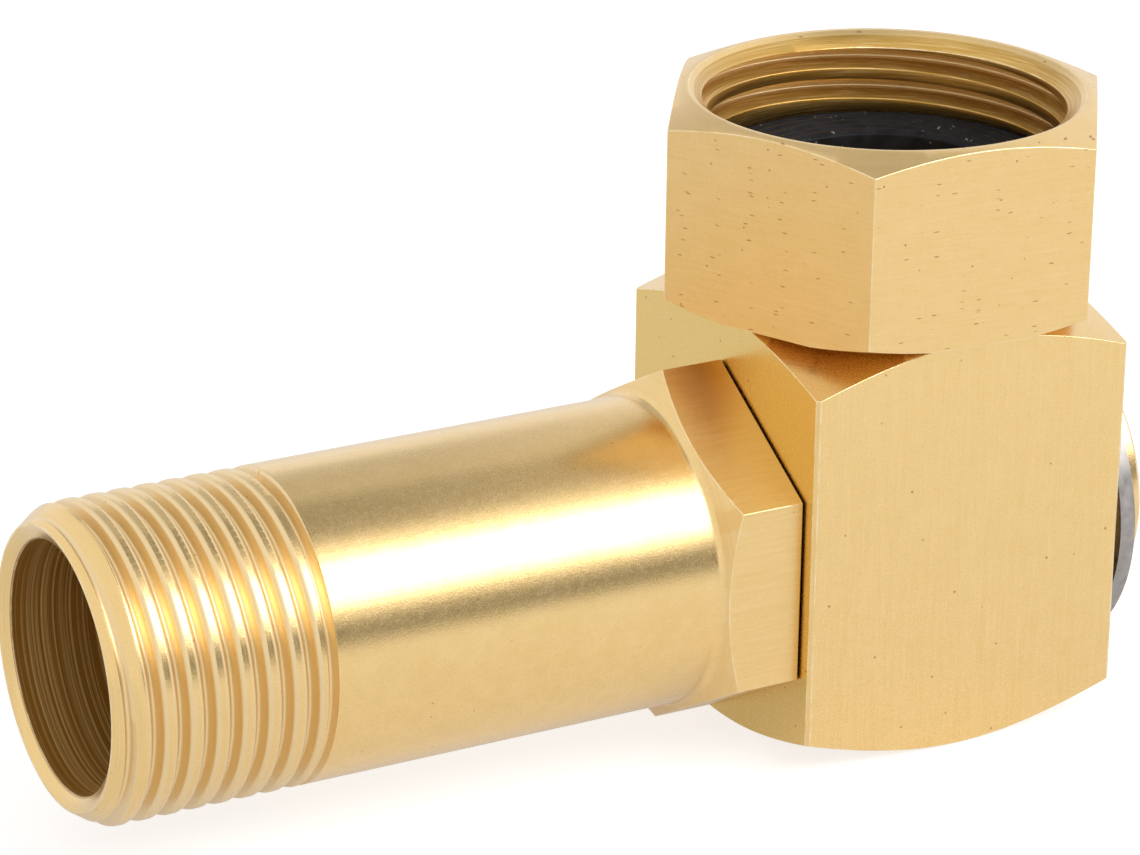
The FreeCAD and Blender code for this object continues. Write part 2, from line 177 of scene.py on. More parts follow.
def combine(piece, tool, operation):
    """Cut the tool out of the piece, join the two or keep what they share."""
    pick(piece)
    bpy.ops.object.modifier_add(type="BOOLEAN")
    step = piece.modifiers[-1]
    step.operation = operation
    step.solver = "EXACT"
    step.object = tool
    bpy.ops.object.modifier_apply(modifier=step.name)
    bpy.data.objects.remove(tool)
    bpy.ops.object.mode_set(mode="EDIT")
    bpy.ops.mesh.select_all(action="SELECT")
    bpy.ops.mesh.remove_doubles(threshold=JOIN_GAP)
    bpy.ops.object.mode_set(mode="OBJECT")


def soften(piece, width=EDGE_BREAK):
    """Round every sharp edge a little and give the new faces the slot that marks an edge."""
    pick(piece)
    for _ in range(SLOTS):
        bpy.ops.object.material_slot_add()
    bpy.ops.object.modifier_add(type="BEVEL")
    step = piece.modifiers[-1]
    step.width = width * MM
    step.segments = 2
    step.angle_limit = EDGE_ANGLE
    step.use_clamp_overlap = False
    step.material = EDGE
    bpy.ops.object.modifier_apply(modifier=step.name)


def finish_piece(piece, body, node):
    """Shade a finished piece, turn its slots into marks and hang it on its body."""
    pick(piece)
    bpy.ops.object.shade_smooth_by_angle(angle=SMOOTH_ANGLE)
    bpy.ops.object.modifier_add(type="WEIGHTED_NORMAL")
    step = piece.modifiers[-1]
    step.keep_sharp = True
    bpy.ops.object.modifier_apply(modifier=step.name)
    mesh = piece.data
    index = np.zeros(len(mesh.polygons), dtype=np.int32)
    mesh.polygons.foreach_get("material_index", index)
    edge = mesh.attributes.new("edge", "FLOAT", "FACE")
    edge.data.foreach_set("value", (index == EDGE).astype(np.float32))
    groove = mesh.attributes.new("groove", "FLOAT", "FACE")
    groove.data.foreach_set("value", (index == GROOVE).astype(np.float32))
    mesh.polygons.foreach_set("material_index", np.full(len(index), PLAIN, dtype=np.int32))
    mesh.materials.clear()
    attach(piece, body)
    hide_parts(node)
    triangles = sum(len(face.vertices) - 2 for face in mesh.polygons)
    print(piece.name, triangles, "triangles")


# %% [markdown]
# ## Screw threads
# A thread is one V-shaped groove wound round and round.  The Screw modifier winds a small
# closed outline exactly so, and the wound tool is then cut out of the tube or the nut.  The
# outline flares just above the crest, so the cut leaves a tiny break on each crest edge, as
# a real tool does.  Towards its end the tool is drawn back out of the metal, which is why
# the last turn of the groove gets shallow and narrow instead of stopping dead.

# %% The wound cutting tool
THREAD_STEPS = 120
TOOL_REACH = 0.2
CREST_CURVE = [(1.0, 0.0), (0.5, 0.17), (0.17, 0.45), (0.0, 0.85)]
ROOT_CURVE = [(1.0, 0.6), (0.55, 0.15)]


def thread_tool(name, section, pitch, turns, rise=0.0, fade_in=0.0, fade_out=0.0):
    """Wind a groove outline round X; over its first or last turns it may leave the metal.

    The section lists (along, radius) pairs in millimetres, starting on the +Z side.
    """
    tool = trace(name, [(along, 0, radius) for along, radius in section], closed=True)
    pick(tool)
    bpy.ops.object.modifier_add(type="SCREW")
    wind = tool.modifiers[-1]
    wind.axis = "X"
    wind.angle = math.tau * turns
    wind.screw_offset = pitch * turns * MM
    wind.iterations = 1
    wind.steps = wind.render_steps = round(THREAD_STEPS * turns)
    bpy.ops.object.modifier_apply(modifier=wind.name)

    if rise:
        points = np.zeros(len(tool.data.vertices) * 3)
        tool.data.vertices.foreach_get("co", points)
        points = points.reshape(-1, len(section), 3)
        done = np.linspace(0, turns, len(points))
        fade = np.interp(done, [0, fade_in, turns - fade_out, turns], [fade_in > 0, 0, 0, 1])
        radius = np.hypot(points[..., 1], points[..., 2])
        points[..., 1:] *= ((radius + fade[:, None] * rise * MM) / radius)[..., None]
        tool.data.vertices.foreach_set("co", points.ravel())

    bpy.ops.object.mode_set(mode="EDIT")
    bpy.ops.mesh.select_all(action="DESELECT")
    bpy.ops.mesh.select_mode(type="EDGE")
    bpy.ops.mesh.select_non_manifold()
    bpy.ops.mesh.edge_face_add()
    bpy.ops.mesh.select_all(action="SELECT")
    bpy.ops.mesh.normals_make_consistent(inside=False)
    bpy.ops.mesh.select_mode(type="VERT")
    bpy.ops.object.mode_set(mode="OBJECT")
    return tool


def groove_section(crest, opening, depth, root, crest_round, outward):
    """Outline of one groove as (along, radius) pairs, open towards the crest side.

    CREST_CURVE gives shares of the crest's rounding, away from the opening and down from the
    crest.  ROOT_CURVE gives shares of the root's half width, away from the groove's middle
    and up from its bottom.
    """
    side = 1 if outward else -1
    half = opening / 2
    right = [(half + crest_round + TOOL_REACH, crest + side * TOOL_REACH)]
    for away, down in CREST_CURVE:
        right.append((half + crest_round * away, crest - side * crest_round * down))
    for away, up in ROOT_CURVE:
        right.append((root * away, crest - side * (depth - root * up)))
    left = [(-along, radius) for along, radius in reversed(right)]
    return right + [(0, crest - side * depth)] + left


def cut_thread(piece, tool, place):
    """Cut a wound tool out of a piece; the cut faces keep the slot that marks a groove."""
    tool.data.transform(place)
    pick(tool)
    for _ in range(SLOTS):
        bpy.ops.object.material_slot_add()
    tool.data.polygons.foreach_set("material_index", [GROOVE] * len(tool.data.polygons))
    combine(piece, tool, "DIFFERENCE")


# %% [markdown]
# ## Outlet stem
# The tube, its hexagon and the long journal inside the block are one turned bar.  The
# section below is read from the open end to the tail: chamfered mouth, plain tube, a small
# root radius at the hexagon, then the journal with its seal grooves, the waist where the
# water crosses and the groove of the retaining ring.  The hexagon is a six-sided bar that
# shares a space with a turned cone, so its corners come off in the round, as in a lathe.

# %% Stem sizes
MOUTH_RISE = 0.95
MOUTH_DEPTH = 0.55
END_FACE = 0.12
END_CHAMFER = 1.7
CHAMFER_EASE = 0.5
CHAMFER_TAIL = 0.4
TUBE_WALL = 2.25
WATERWAY_PAST_HEX_FRONT = 1.25
HEX_LENGTH = 4.65
HEX_GAP = 0.12
HEX_BACK_ROUND = 0.1
HEX_STEP = 0.5
HEX_CONE_SLOPE = math.radians(27)
HEX_ROOT_RUN = 0.5
HEX_ROOT_RISE = 0.3
SHOULDER = 1.25
WAIST_DEPTH = 2.0
WAIST_HALF = 6.5
WAIST_WALL = 2.0
SEAL_GROOVE_DEPTH = 1.7
SEAL_ROOM = 0.3
RING_GROOVE_DEPTH = 0.5
RING_ROOM = 0.05
PORT_DIA = 7.0
PORTS = 4
PORT_STEPS = 96
PAST_PORT = 1.5
DRILL_SLOPE = math.radians(31)
TAIL_CHAMFER = 0.3

hex_back = -block_half - HEX_GAP
hex_front = hex_back - HEX_LENGTH
cone_start = hex_front - (hex_corner_r - tube_r) * math.tan(HEX_CONE_SLOPE)
journal_r = tube_r + HEX_STEP - SHOULDER
way_r = tube_r - TUBE_WALL
inner_r = journal_r - WAIST_DEPTH - WAIST_WALL
mouth_r = way_r + MOUTH_RISE
print("hexagon from", round(hex_front, 2), "to", round(hex_back, 2), "journal radius", journal_r)


# %% Stem section
def eased(start, corner, end, count=5):
    """Smooth curve that cuts a corner, as (radius, place) pairs."""
    curve = []
    for index in range(count + 1):
        t = index / count
        point = (
            Vector(start) * (1 - t) ** 2 + Vector(corner) * 2 * t * (1 - t) + Vector(end) * t ** 2
        )
        curve.append((point.x, point.y))
    return curve


def root_curve():
    """Curve from the tube up the hexagon's cone."""
    start = (tube_r, cone_start - HEX_ROOT_RUN)
    end = (tube_r + HEX_ROOT_RISE, cone_start + HEX_ROOT_RISE * math.tan(HEX_CONE_SLOPE))
    return eased(start, (tube_r, cone_start), end)


def chamfer_curve():
    """Worn corner between the end's chamfer and the tube."""
    share = CHAMFER_EASE / END_CHAMFER
    start_r = tube_r - (tube_r - mouth_r - END_FACE) * share
    corner = tube_end + END_CHAMFER
    start = (start_r, corner - CHAMFER_EASE)
    return eased(start, (tube_r, corner), (tube_r, corner + CHAMFER_TAIL))


def ring_groove(start, end, depth):
    """Square groove in the journal, as (radius, place) pairs."""
    floor = journal_r - depth
    return [(journal_r, start), (floor, start), (floor, end), (journal_r, end)]


def seal_groove(node):
    """Groove for one rubber seal, a little wider than the seal itself."""
    start, end = span(node, X)
    return ring_groove(start - SEAL_ROOM, end + SEAL_ROOM, SEAL_GROOVE_DEPTH)


ring_start, ring_end = span("retaining_ring", X)
inner_start = hex_front + WATERWAY_PAST_HEX_FRONT + (way_r - inner_r) * math.tan(DRILL_SLOPE)
inner_end = PORT_DIA / 2 + PAST_PORT
hidden_r = tube_r + HEX_ROOT_RISE
stem_section = (
    [
        (0, inner_end + inner_r * math.tan(DRILL_SLOPE)),
        (inner_r, inner_end),
        (inner_r, inner_start),
        (way_r, hex_front + WATERWAY_PAST_HEX_FRONT),
        (way_r, tube_end + MOUTH_DEPTH),
        (mouth_r, tube_end),
        (mouth_r + END_FACE, tube_end),
    ]
    + chamfer_curve()
    + root_curve()
    + [(hidden_r, hex_back - SHOULDER), (journal_r, hex_back - SHOULDER)]
    + seal_groove("tube_side_seal")
    + ring_groove(-WAIST_HALF, WAIST_HALF, WAIST_DEPTH)
    + seal_groove("tail_side_seal")
    + ring_groove(ring_start - RING_ROOM, ring_end + RING_ROOM, RING_GROOVE_DEPTH)
    + [(journal_r, tail_end - TAIL_CHAMFER), (journal_r - TAIL_CHAMFER, tail_end), (0, tail_end)]
)
stem = turn("outlet_stem_turned", stem_section, along="X")
print("stem section has", len(stem_section), "points")


# %% Hexagon on the stem
def hex_bar(name, corner_r, start, end, turn_angle, along):
    """Six-sided bar between two places along the nut's or the tube's axis."""
    bpy.ops.object.select_all(action="DESELECT")
    bpy.ops.mesh.primitive_cylinder_add(
        vertices=6, radius=corner_r * MM, depth=(end - start) * MM, rotation=(0, 0, turn_angle)
    )
    piece = new_piece(name)
    bpy.ops.object.transform_apply(location=True, rotation=True, scale=True)
    middle = (start + end) / 2 * MM
    if along == "Z":
        piece.data.transform(Matrix.Translation((0, 0, middle)))
    else:
        lean = Matrix.Rotation(math.pi / 2, 4, "Y")
        piece.data.transform(Matrix.Translation((middle, 0, axis_z * MM)) @ lean)
    return piece


CONE_REACH = 3.0
HEX_BACK_STEPS = 3
cone_top_r = hex_corner_r + CONE_REACH
cone_section = [
    (0, cone_start - CONE_REACH),
    (tube_r - CONE_REACH / math.tan(HEX_CONE_SLOPE), cone_start - CONE_REACH),
    (cone_top_r, hex_front + CONE_REACH * math.tan(HEX_CONE_SLOPE)),
    (cone_top_r, hex_back + CONE_REACH),
    (0, hex_back + CONE_REACH),
]
hexagon = hex_bar("hexagon", hex_corner_r, cone_start - CONE_REACH / 2, hex_back, math.pi / 2, "X")
combine(hexagon, turn("hexagon_cone", cone_section, along="X"), "INTERSECT")
pick(hexagon)
bpy.ops.object.mode_set(mode="EDIT")
bpy.ops.mesh.select_all(action="DESELECT")
bpy.ops.object.mode_set(mode="OBJECT")
for vertex in hexagon.data.vertices:
    vertex.select = vertex.co.x > hex_back * MM - JOIN_GAP
bpy.ops.object.mode_set(mode="EDIT")
bpy.ops.mesh.bevel(offset=HEX_BACK_ROUND * MM, segments=HEX_BACK_STEPS)
bpy.ops.object.mode_set(mode="OBJECT")
combine(stem, hexagon, "UNION")

# %% Cross ports and edges of the stem
for index in range(PORTS // 2):
    bpy.ops.object.select_all(action="DESELECT")
    bpy.ops.mesh.primitive_cylinder_add(
        vertices=PORT_STEPS,
        radius=PORT_DIA / 2 * MM,
        depth=2 * journal_r * MM,
        location=(0, 0, axis_z * MM),
        rotation=(index * math.tau / PORTS, 0, 0),
    )
    drill = new_piece("port_drill")
    bpy.ops.object.transform_apply(location=True, rotation=True, scale=True)
    combine(stem, drill, "DIFFERENCE")
soften(stem)
print("stem has", len(stem.data.polygons), "faces before its thread")

# %% Outlet thread
OUTLET_PITCH = 25.4 / 14
OUTLET_OPENING = 0.74
OUTLET_DEPTH = 0.90
OUTLET_ROOT = 0.20
OUTLET_CREST_ROUND = 0.34
OUTLET_TURNS = 9.0
OUTLET_FIRST_GROOVE = -63.54
RUN_OUT_TURNS = 0.95
LEAD_IN_TURNS = 0.02

outlet_section = groove_section(
    tube_r, OUTLET_OPENING, OUTLET_DEPTH, OUTLET_ROOT, OUTLET_CREST_ROUND, True
)
outlet_tool = thread_tool(
    "outlet_thread_tool",
    [(along + OUTLET_FIRST_GROOVE, radius) for along, radius in outlet_section],
    OUTLET_PITCH,
    OUTLET_TURNS,
)
cut_thread(stem, outlet_tool, Matrix.Translation((0, 0, axis_z * MM)))

run_out = OUTLET_FIRST_GROOVE + OUTLET_PITCH * OUTLET_TURNS
run_out_tool = thread_tool(
    "run_out_tool",
    [(along + run_out, radius) for along, radius in outlet_section],
    0.0,
    RUN_OUT_TURNS,
    rise=OUTLET_DEPTH + TOOL_REACH / 2,
    fade_out=RUN_OUT_TURNS,
)
start = Matrix.Rotation(-math.tau * LEAD_IN_TURNS, 4, "X")
cut_thread(stem, run_out_tool, Matrix.Translation((0, 0, axis_z * MM)) @ start)
finish_piece(stem, "stem", "outlet_stem")

# %% [markdown]
# ## Block
# The block is square bar with a shallow cone turned on each end, which leaves the curved
# shoulders on its four faces.  A cube is cut to size, its upright edges are bevelled, and
# what it shares with the turned double cone is kept.  Then come the cross bore for the
# journal and the socket for the neck.

# %% Block sizes
BLOCK_CORNER = 0.25
BLOCK_CONE_BITE = 0.25
BLOCK_CONE_SLOPE = math.radians(24.5)
BORE_ROOM = 0.05
BORE_LEAD_IN = 0.5
SOCKET_R = 8.53
SOCKET_FLOOR_WALL = 0.45
PORT_R = 6.0
CUT_PAST = 2.0

bore_r = journal_r + BORE_ROOM
block_face_r = block_half - BLOCK_CONE_BITE
cone_wide = block_half * math.sqrt(2)
cone_fall = (cone_wide - block_face_r) * math.tan(BLOCK_CONE_SLOPE)

# %% Square bar and its cones
bpy.ops.object.select_all(action="DESELECT")
bpy.ops.mesh.primitive_cube_add(
    size=1,
    location=(0, 0, block_top / 2 * MM),
    scale=(2 * block_half * MM, 2 * block_half * MM, block_top * MM),
)
block = new_piece("swivel_block")
bpy.ops.object.transform_apply(location=True, rotation=True, scale=True)
bpy.ops.object.mode_set(mode="EDIT")
bpy.ops.mesh.select_mode(type="EDGE")
bpy.ops.mesh.select_all(action="DESELECT")
bpy.ops.object.mode_set(mode="OBJECT")
for edge in block.data.edges:
    ends = [block.data.vertices[index].co for index in edge.vertices]
    edge.select = abs(ends[0].z - ends[1].z) > MM
bpy.ops.object.mode_set(mode="EDIT")
bpy.ops.mesh.bevel(offset=BLOCK_CORNER * math.sqrt(2) * MM, offset_type="WIDTH", segments=1)
bpy.ops.mesh.select_mode(type="VERT")
bpy.ops.object.mode_set(mode="OBJECT")
block_cones = turn(
    "block_cones",
    [
        (0, 0),
        (block_face_r, 0),
        (cone_wide, cone_fall),
        (cone_wide, block_top - cone_fall),
        (block_face_r, block_top),
        (0, block_top),
    ],
)
combine(block, block_cones, "INTERSECT")
print("block bar has", len(block.data.polygons), "faces")

# %% Bore and socket
lead_r = bore_r + BORE_LEAD_IN
far = block_half + CUT_PAST
bore = turn(
    "journal_bore",
    [
        (0, -far),
        (lead_r + CUT_PAST, -far),
        (lead_r, -block_half),
        (bore_r, -block_half + BORE_LEAD_IN),
        (bore_r, block_half - BORE_LEAD_IN),
        (lead_r, block_half),
        (lead_r + CUT_PAST, far),
        (0, far),
    ],
    along="X",
)
combine(block, bore, "DIFFERENCE")
socket_floor = axis_z + bore_r + SOCKET_FLOOR_WALL
socket = turn(
    "neck_socket",
    [
        (0, axis_z),
        (PORT_R, axis_z),
        (PORT_R, socket_floor),
        (SOCKET_R, socket_floor),
        (SOCKET_R, block_top + CUT_PAST),
        (0, block_top + CUT_PAST),
    ],
)
combine(block, socket, "DIFFERENCE")
soften(block)
finish_piece(block, "block", "swivel_body")

# %% [markdown]
# ## Hose nut
# The nut is a six-sided bar with a cone on both ends.  Inside there is, from the bottom, a
# shoulder that hangs on the neck's flange, a chamber for the washer, the threaded wall and
# a countersunk mouth.  Its thread is the coarse garden hose one.

# %% Nut sizes
NUT_FLATS = 28.6
NUT_TURN = math.radians(-4.5)
NUT_TOP_FACE_R = 13.9
NUT_BASE_FACE_R = 14.7
NUT_CONE_SLOPE = math.radians(22.5)
NUT_CONE_REACH = 0.5
NUT_HOLE_R = 9.8
NUT_SHOULDER = 3.0
CHAMBER_R = 12.85
CHAMBER_TOP = 8.4
MOUTH_R = 13.55
MOUTH_SINK = 0.95

nut_corner_r = NUT_FLATS / 2 / math.cos(math.pi / 6)
nut_wide = nut_corner_r + NUT_CONE_REACH
top_fall = (nut_wide - NUT_TOP_FACE_R) * math.tan(NUT_CONE_SLOPE)
base_rise = (nut_wide - NUT_BASE_FACE_R) * math.tan(NUT_CONE_SLOPE)

# %% Nut bar, cones and inside
nut = hex_bar("hose_nut_turned", nut_corner_r, nut_base, nut_top, NUT_TURN + math.pi / 6, "Z")
nut_cones = turn(
    "nut_cones",
    [
        (0, nut_base),
        (NUT_BASE_FACE_R, nut_base),
        (nut_wide, nut_base + base_rise),
        (nut_wide, nut_top - top_fall),
        (NUT_TOP_FACE_R, nut_top),
        (0, nut_top),
    ],
)
combine(nut, nut_cones, "INTERSECT")
mouth_slope = (MOUTH_R - crest_r) / MOUTH_SINK
nut_inside = turn(
    "nut_inside",
    [
        (0, nut_base - CUT_PAST),
        (NUT_HOLE_R, nut_base - CUT_PAST),
        (NUT_HOLE_R, nut_base + NUT_SHOULDER),
        (CHAMBER_R, nut_base + NUT_SHOULDER),
        (CHAMBER_R, nut_base + CHAMBER_TOP),
        (crest_r, nut_base + CHAMBER_TOP),
        (crest_r, nut_top - MOUTH_SINK),
        (MOUTH_R + mouth_slope * CUT_PAST, nut_top + CUT_PAST),
        (0, nut_top + CUT_PAST),
    ],
)
combine(nut, nut_inside, "DIFFERENCE")
soften(nut)

# %% Hose thread in the nut
HOSE_PITCH = 25.4 / 11.5
HOSE_OPENING = 1.36
HOSE_DEPTH = 1.12
HOSE_ROOT = 0.14
HOSE_CREST_ROUND = 0.08
HOSE_TURNS = 2.54
HOSE_FADE_IN = 0.25
HOSE_FADE_OUT = 0.3
HOSE_START = math.radians(-40)
HOSE_FIRST_GROOVE = 43.95

hose_tool = thread_tool(
    "hose_thread_tool",
    groove_section(crest_r, HOSE_OPENING, HOSE_DEPTH, HOSE_ROOT, HOSE_CREST_ROUND, False),
    HOSE_PITCH,
    HOSE_TURNS,
    rise=-HOSE_DEPTH - TOOL_REACH / 2,
    fade_in=HOSE_FADE_IN,
    fade_out=HOSE_FADE_OUT,
)
upright = Matrix.Rotation(HOSE_START, 4, "Z") @ Matrix.Rotation(math.pi / 2, 4, "Y")
cut_thread(nut, hose_tool, Matrix.Translation((0, 0, HOSE_FIRST_GROOVE * MM)) @ upright)
finish_piece(nut, "nut", "hose_nut")

# %% [markdown]
# ## Washer
# The hose washer is a soft ring with fine ridges on its faces, which bite into the end of
# the hose.  One turned section holds the ridges, each drawn as a low round wave.

# %% Washer
washer_base, washer_top = span("hose_washer", Z)
washer_r = span("hose_washer", X)[1]
WASHER_WIDTH = 4.75
WASHER_RIDGES = 5
RIDGE_HEIGHT = 0.3
RIDGE_POINTS = 8
WASHER_EDGE_BREAK = 0.12


def ridged_face(height, side):
    """Wavy face from the hole to the rim, as (radius, place) pairs."""
    points = []
    for index in range(WASHER_RIDGES * RIDGE_POINTS + 1):
        share = index / (WASHER_RIDGES * RIDGE_POINTS)
        radius = washer_r - WASHER_WIDTH * (1 - share)
        wave = (1 - math.cos(share * WASHER_RIDGES * math.tau)) / 2
        points.append((radius, height - side * RIDGE_HEIGHT * (1 - wave)))
    return points


washer = turn(
    "hose_washer_ridged",
    ridged_face(washer_base, -1) + ridged_face(washer_top, 1)[::-1],
    closed=True,
)
soften(washer, WASHER_EDGE_BREAK)
finish_piece(washer, "nut", "hose_washer")

# %% [markdown]
# ## Brass
# Bare machined brass is all reflection.  What tells it from gold paint is how each tool
# marked it: fine draw lines along a bar, circles where it was turned, a frosty grain, small
# dents, and edges that are bright where the burr was knocked off, with a painted highlight
# on top.  Some colour is painted light as well: painted reflection of brass in the thread
# grooves and on the sides that face along the tube, and painted shade inside the bores.
# One function builds the shader, and each piece sets how much of which mark it carries.
# All patterns are read in object coordinates, which are metres here, so a scale of 5000
# means five marks a millimetre.

# %% Node helpers
def new_material(name):
    """Empty node material, its node tree and its principled shader."""
    material = bpy.data.materials.new(name)
    material.use_nodes = True
    return material, material.node_tree, material.node_tree.nodes["Principled BSDF"]


def feed(tree, socket, value):
    """Give a socket a plain value, or link it to the socket that feeds it."""
    if isinstance(value, bpy.types.NodeSocket):
        tree.links.new(value, socket)
    else:
        socket.default_value = value


def add(tree, kind, inputs=None, **settings):
    """Add one node; inputs are plain values or the sockets that feed them."""
    node = tree.nodes.new("ShaderNode" + kind)
    for name, value in settings.items():
        setattr(node, name, value)
    for key, value in (inputs or {}).items():
        feed(tree, node.inputs[key], value)
    return node


# %% Sums and mixes
def maths(tree, operation, a, b=0.5):
    """One sum on two values."""
    return add(tree, "Math", {0: a, 1: b}, operation=operation).outputs["Value"]


def remap(tree, value, low, high, to_low=0.0, to_high=1.0):
    """Spread one range of a value over another."""
    inputs = {0: value, 1: low, 2: high, 3: to_low, 4: to_high}
    return add(tree, "MapRange", inputs).outputs[0]


def blend_colour(tree, factor, first, second):
    """Mix two colours by a factor."""
    node = add(tree, "Mix", data_type="RGBA")
    for index, value in ((0, factor), (6, first), (7, second)):
        feed(tree, node.inputs[index], value)
    return node.outputs[2]


def choose(tree, mask, inside, outside):
    """One value where a mask is 1 and another where it is 0."""
    node = add(tree, "Mix", data_type="FLOAT")
    for index, value in ((0, mask), (2, outside), (3, inside)):
        feed(tree, node.inputs[index], value)
    return node.outputs[0]


# %% Noise and places
def noise(tree, where, scale, detail=2.0, rough=0.5):
    """Noise between 0 and 1 at so many marks per metre."""
    inputs = {"Vector": where, "Scale": scale, "Detail": detail, "Roughness": rough}
    return add(tree, "TexNoise", inputs).outputs["Fac"]


def stretch(tree, where, scale):
    """Coordinates pulled out along an axis, so noise turns into lines."""
    return add(tree, "Mapping", {"Vector": where, "Scale": scale}).outputs["Vector"]


def axis_part(tree, vector, axis):
    """One of the three parts of a vector."""
    return add(tree, "SeparateXYZ", {"Vector": vector}).outputs[axis]


def from_axis(tree, where, along):
    """Distance from the nut's axis, along Z, or from the tube's axis, along X."""
    middle = (0, 0, axis_z * MM)
    centred = add(tree, "VectorMath", {0: where, 1: middle}, operation="SUBTRACT")
    across = (0, 1, 1) if along == "X" else (1, 1, 0)
    flat = add(
        tree, "VectorMath", {0: centred.outputs["Vector"], 1: across}, operation="MULTIPLY"
    )
    length = add(tree, "VectorMath", {0: flat.outputs["Vector"]}, operation="LENGTH")
    return length.outputs["Value"]


def facing(tree, axis):
    """How far the surface faces along an axis, either way, from 0 to 1."""
    normal = add(tree, "TexCoord").outputs["Normal"]
    return maths(tree, "ABSOLUTE", axis_part(tree, normal, axis))


# %% Marks that the tools left
LINE_DETAIL = 3.0
LINE_ROUGHNESS = 0.6
SPOT_CORE = 0.4
CONED_FACING = (0.3, 0.5)


def draw_lines(tree, where, pull):
    """Fine straight lines, along the axis or axes that have the smallest pull."""
    return noise(tree, stretch(tree, where, pull), 1.0, LINE_DETAIL, LINE_ROUGHNESS)


def turned_lines(tree, where, along, fine=9000.0, broken=250.0):
    """Circles left by a lathe, whichever way the turned surface faces."""
    radius = maths(tree, "MULTIPLY", from_axis(tree, where, along), fine)
    place = maths(tree, "MULTIPLY", axis_part(tree, where, along), fine)
    rings = add(tree, "CombineXYZ", {"X": radius, "Y": place}).outputs["Vector"]
    uneven = add(
        tree, "VectorMath", {0: where, 1: (broken,) * 3, 2: rings}, operation="MULTIPLY_ADD"
    )
    return noise(tree, uneven.outputs["Vector"], 1.0, LINE_DETAIL, LINE_ROUGHNESS)


def spots(tree, where, spacing, size, share):
    """Small pits, one in some of the cells of a random lattice."""
    cells = add(tree, "TexVoronoi", {"Vector": where, "Scale": spacing})
    inside = remap(tree, cells.outputs["Distance"], size, size * SPOT_CORE)
    pick_one = add(tree, "SeparateColor", {"Color": cells.outputs["Color"]}).outputs["Red"]
    return maths(tree, "MULTIPLY", inside, maths(tree, "LESS_THAN", pick_one, share))


def coned_ends(tree):
    """1 on the end faces and cones, which face up or down, and 0 on the upright sides."""
    return remap(tree, facing(tree, "Z"), *CONED_FACING)


def marked(tree, name):
    """1 on the faces that finish_piece marked with this name."""
    return add(tree, "Attribute", attribute_name=name).outputs["Fac"]


# %% Colours and strengths of brass
PALE = (0.89, 0.63, 0.29, 1.0)
DEEP = (0.81, 0.565, 0.22, 1.0)
# Draw streaks whose gold is also a painted reflection of the brass beside the sides that face along the
# tube.
DRAWN_AND_REFLECTED_GOLD = (0.80, 0.545, 0.11, 1.0)
# Painted reflection: the thread grooves are tinted a deeper gold in place of the light their own brass
# bounces into them.
GROOVE_PAINTED_BOUNCE = (0.85, 0.65, 0.36, 1.0)
# Painted shade inside the bores, which in the nut is also a painted amber reflection of its own brass.
BORE_SHADE_AND_BOUNCE = (0.60, 0.35, 0.07, 1.0)
# Painted shade inside the tube's bore.
TUBE_BORE_SHADE = (0.40, 0.185, 0.02, 1.0)
PIT_BROWN = (0.42, 0.22, 0.08, 1.0)
# Worn edges with a painted highlight on them.
BURR_AND_GLINT = (0.96, 0.79, 0.50, 1.0)
CLOUD_SCALE = 700.0
GRAIN_SCALE = 7500.0
GRAIN_SHARE = 0.4
TONE_RANGE = (0.36, 0.62)
INSIDE_RANGE = (0.48, 0.66)
STREAK_AND_REFLECTION_RANGE = (0.35, 0.65, 0.55, 1.0)
BURR_GLINT_RANGE = (0.40, 0.60, 0.15, 0.85)
# Share of that painted reflection in the grooves.
GROOVE_BOUNCE_SHARE = 0.85
COAT = 0.5
COAT_ROUGH = 0.3
ROUGH_SWING = 0.1
GROOVE_ROUGH = 0.1
FILM_ROUGH = 0.4
INSIDE_GRAIN = 0.3
MARK_HEIGHT = 0.004


# %% Colour of brass
def brass_colour(tree, where, grain, marks, contrast, inside, inside_shade_colour, dents, drawn_and_reflected):
    """Colour from the tool marks and draw streaks with painted reflection, then painted shade inside,
    painted reflection in the faces marked groove, dents, and worn edges with a painted highlight.
    """
    cloud = noise(tree, where, CLOUD_SCALE, 4.0, 0.7)
    tone = choose(tree, contrast, marks, cloud)
    tone = choose(tree, GRAIN_SHARE, grain, tone)
    colour = blend_colour(tree, remap(tree, tone, *TONE_RANGE), DEEP, PALE)
    # The sides along the tube get draw streaks with a painted reflection of the brass beside them.
    if drawn_and_reflected is not None:
        streaks_and_reflection = maths(tree, "MULTIPLY", drawn_and_reflected, remap(tree, marks, *STREAK_AND_REFLECTION_RANGE))
        colour = blend_colour(tree, streaks_and_reflection, colour, DRAWN_AND_REFLECTED_GOLD)
    # The groove faces get the painted reflection, except inside a bore.
    groove_bounce = GROOVE_BOUNCE_SHARE
    # Inside a bore the colour is painted shade, striped by the marks.
    if inside is not None:
        inside_shade = blend_colour(tree, remap(tree, marks, *INSIDE_RANGE), inside_shade_colour, DEEP)
        colour = blend_colour(tree, inside, colour, inside_shade)
        groove_bounce = remap(tree, inside, 0.0, 1.0, GROOVE_BOUNCE_SHARE, 0.0)
    groove_bounce = maths(tree, "MULTIPLY", marked(tree, "groove"), groove_bounce)
    colour = blend_colour(tree, groove_bounce, colour, GROOVE_PAINTED_BOUNCE)
    if dents is not None:
        colour = blend_colour(tree, dents, colour, PIT_BROWN)
    # Worn edges, partly a painted highlight, broken up by noise.
    burr_glint = remap(tree, noise(tree, where, CLOUD_SCALE, 3.0, 0.7), *BURR_GLINT_RANGE)
    worn_and_glint = maths(tree, "MULTIPLY", marked(tree, "edge"), burr_glint)
    return blend_colour(tree, worn_and_glint, colour, BURR_AND_GLINT)


